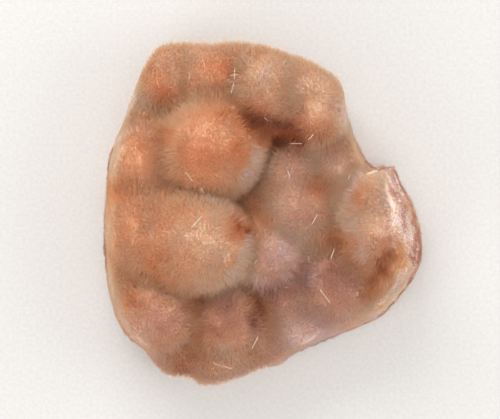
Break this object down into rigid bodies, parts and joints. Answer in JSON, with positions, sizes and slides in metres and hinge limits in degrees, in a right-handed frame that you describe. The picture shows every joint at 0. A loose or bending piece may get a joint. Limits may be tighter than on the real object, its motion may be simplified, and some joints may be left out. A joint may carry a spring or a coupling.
{
  "type": "mesolite crystal specimen",
  "caption": "Hand specimen of peach-coloured mesolite: rounded balls of fine radiating needle crystals crowded over a broken crust, lying on its flat back.",
  "frame": {"origin": "middle of the flat back that the specimen rests on, below the middle of its outline", "axes": "+Z out of the flat back towards the needle tips, +Y up the face of the specimen, +X to its right"},
  "size_m": [0.1045, 0.1088, 0.0456],
  "materials": {
    "mesolite": "fine silky needles"
  },
  "bodies": {
    "root": {"mesolite_mass": "mesolite"}
  },
  "joints": []
}
